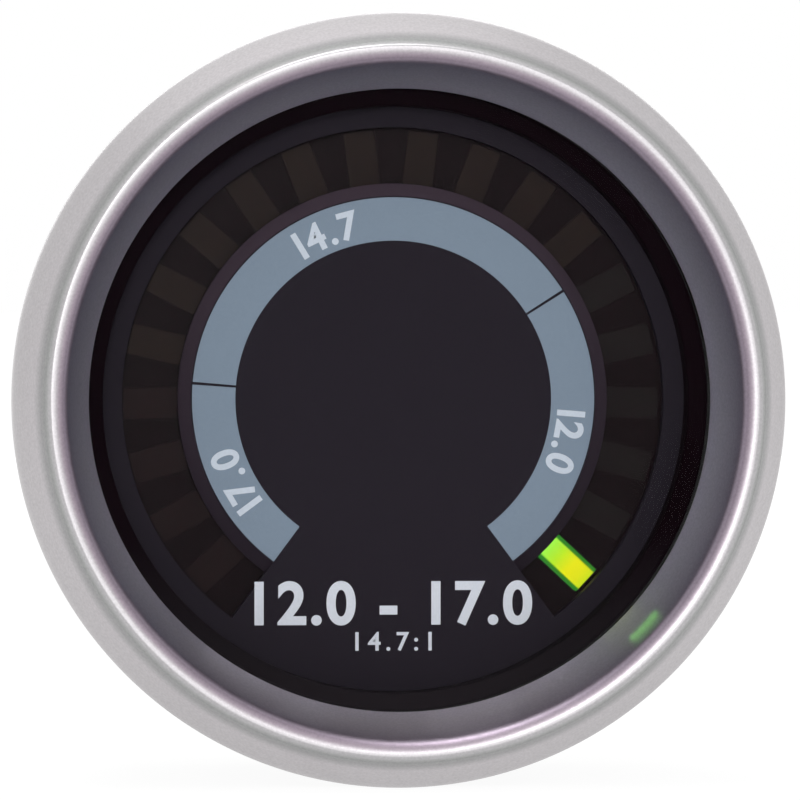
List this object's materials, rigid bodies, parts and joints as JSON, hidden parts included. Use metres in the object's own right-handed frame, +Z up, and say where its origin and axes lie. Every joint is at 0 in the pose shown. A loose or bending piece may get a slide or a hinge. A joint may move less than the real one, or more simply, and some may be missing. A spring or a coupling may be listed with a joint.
{
  "type": "air fuel ratio gauge",
  "caption": "Round panel gauge with a satin rim, a flat lens, an arc of light cells behind a curved smoked window, and a strap bracket on two studs.",
  "frame": {"origin": "on the gauge's axis, in the plane of the rim's back seat, which is the front face of the panel", "axes": "+Z up, the dial faces -Y, +Y runs back along the barrel through the panel, +X to the viewer's right"},
  "size_m": [0.0572, 0.0688, 0.0572],
  "materials": {
    "satin_rim": "satin, fine bead-blasted grain",
    "lens_glass": "clear, polished",
    "gasket_rubber": "matt",
    "black_plastic": "matt moulded",
    "dial_face": "matt screen-printed black",
    "smoke_tint": "smoked, clear",
    "lean_tint": "translucent red-brown",
    "centre_tint": "translucent amber-brown",
    "rich_tint": "translucent green",
    "lit_cell": "translucent, lit yellow-green",
    "light_chip": "clear resin",
    "circuit_board": "solder mask",
    "post_brass": "machined",
    "zinc_steel": "bright zinc plate",
    "chip_black": "moulded epoxy",
    "can_aluminium": "drawn",
    "socket_nylon": "natural nylon",
    "contact_metal": "tin plate",
    "case_plastic": "fine moulded texture",
    "bracket_steel": "zinc plate",
    "nut_brass": "turned, fluted"
  },
  "bodies": {
    "case": {"bezel": "satin_rim", "lens": "lens_glass", "lens_gasket": "gasket_rubber", "spacer_ring": "black_plastic", "dial_plate": "dial_face", "smoke_filter": "smoke_tint", "light_housing": "black_plastic", "lean_diffusers": "lean_tint", "centre_diffusers": "centre_tint", "rich_diffusers": "rich_tint", "lit_diffuser": "lit_cell", "lean_leds": "light_chip", "centre_leds": "light_chip", "rich_leds": "light_chip", "led_board": "circuit_board", "board_header": "black_plastic", "board_posts": "post_brass", "board_screws": "zinc_steel", "driver_board": "circuit_board", "driver_chips": "chip_black", "chip_resistors": "chip_black", "filter_capacitor": "can_aluminium", "voltage_regulator": "chip_black", "protection_diode": "chip_black", "harness_socket": "socket_nylon", "contact_pins": "contact_metal", "case": "case_plastic", "mounting_studs": "zinc_steel", "stud_washers": "zinc_steel", "jam_nuts": "zinc_steel"},
    "bracket": {"bracket": "bracket_steel", "lock_washers": "zinc_steel"},
    "upper_nut": {"upper_thumb_nut": "nut_brass"},
    "lower_nut": {"lower_thumb_nut": "nut_brass"}
  },
  "joints": [
    {"name": "bracket_slide", "type": "slide", "parent": "case", "child": "bracket", "axis": [0, 1, 0], "range_m": [-0.00198, 0.01687]},
    {"name": "upper_nut_turn", "type": "hinge", "parent": "bracket", "child": "upper_nut", "pos_m": [0, 0.0362, 0.016], "axis": [0, 1, 0], "range_deg": [-900, 7650]},
    {"name": "lower_nut_turn", "type": "hinge", "parent": "bracket", "child": "lower_nut", "pos_m": [0, 0.0362, -0.016], "axis": [0, 1, 0], "range_deg": [-900, 7650]}
  ],
  "couplings": [
    {"joint": "upper_nut_turn", "follows": "bracket_slide", "rad_per_m": 7915.8},
    {"joint": "lower_nut_turn", "follows": "bracket_slide", "rad_per_m": 7915.8}
  ]
}
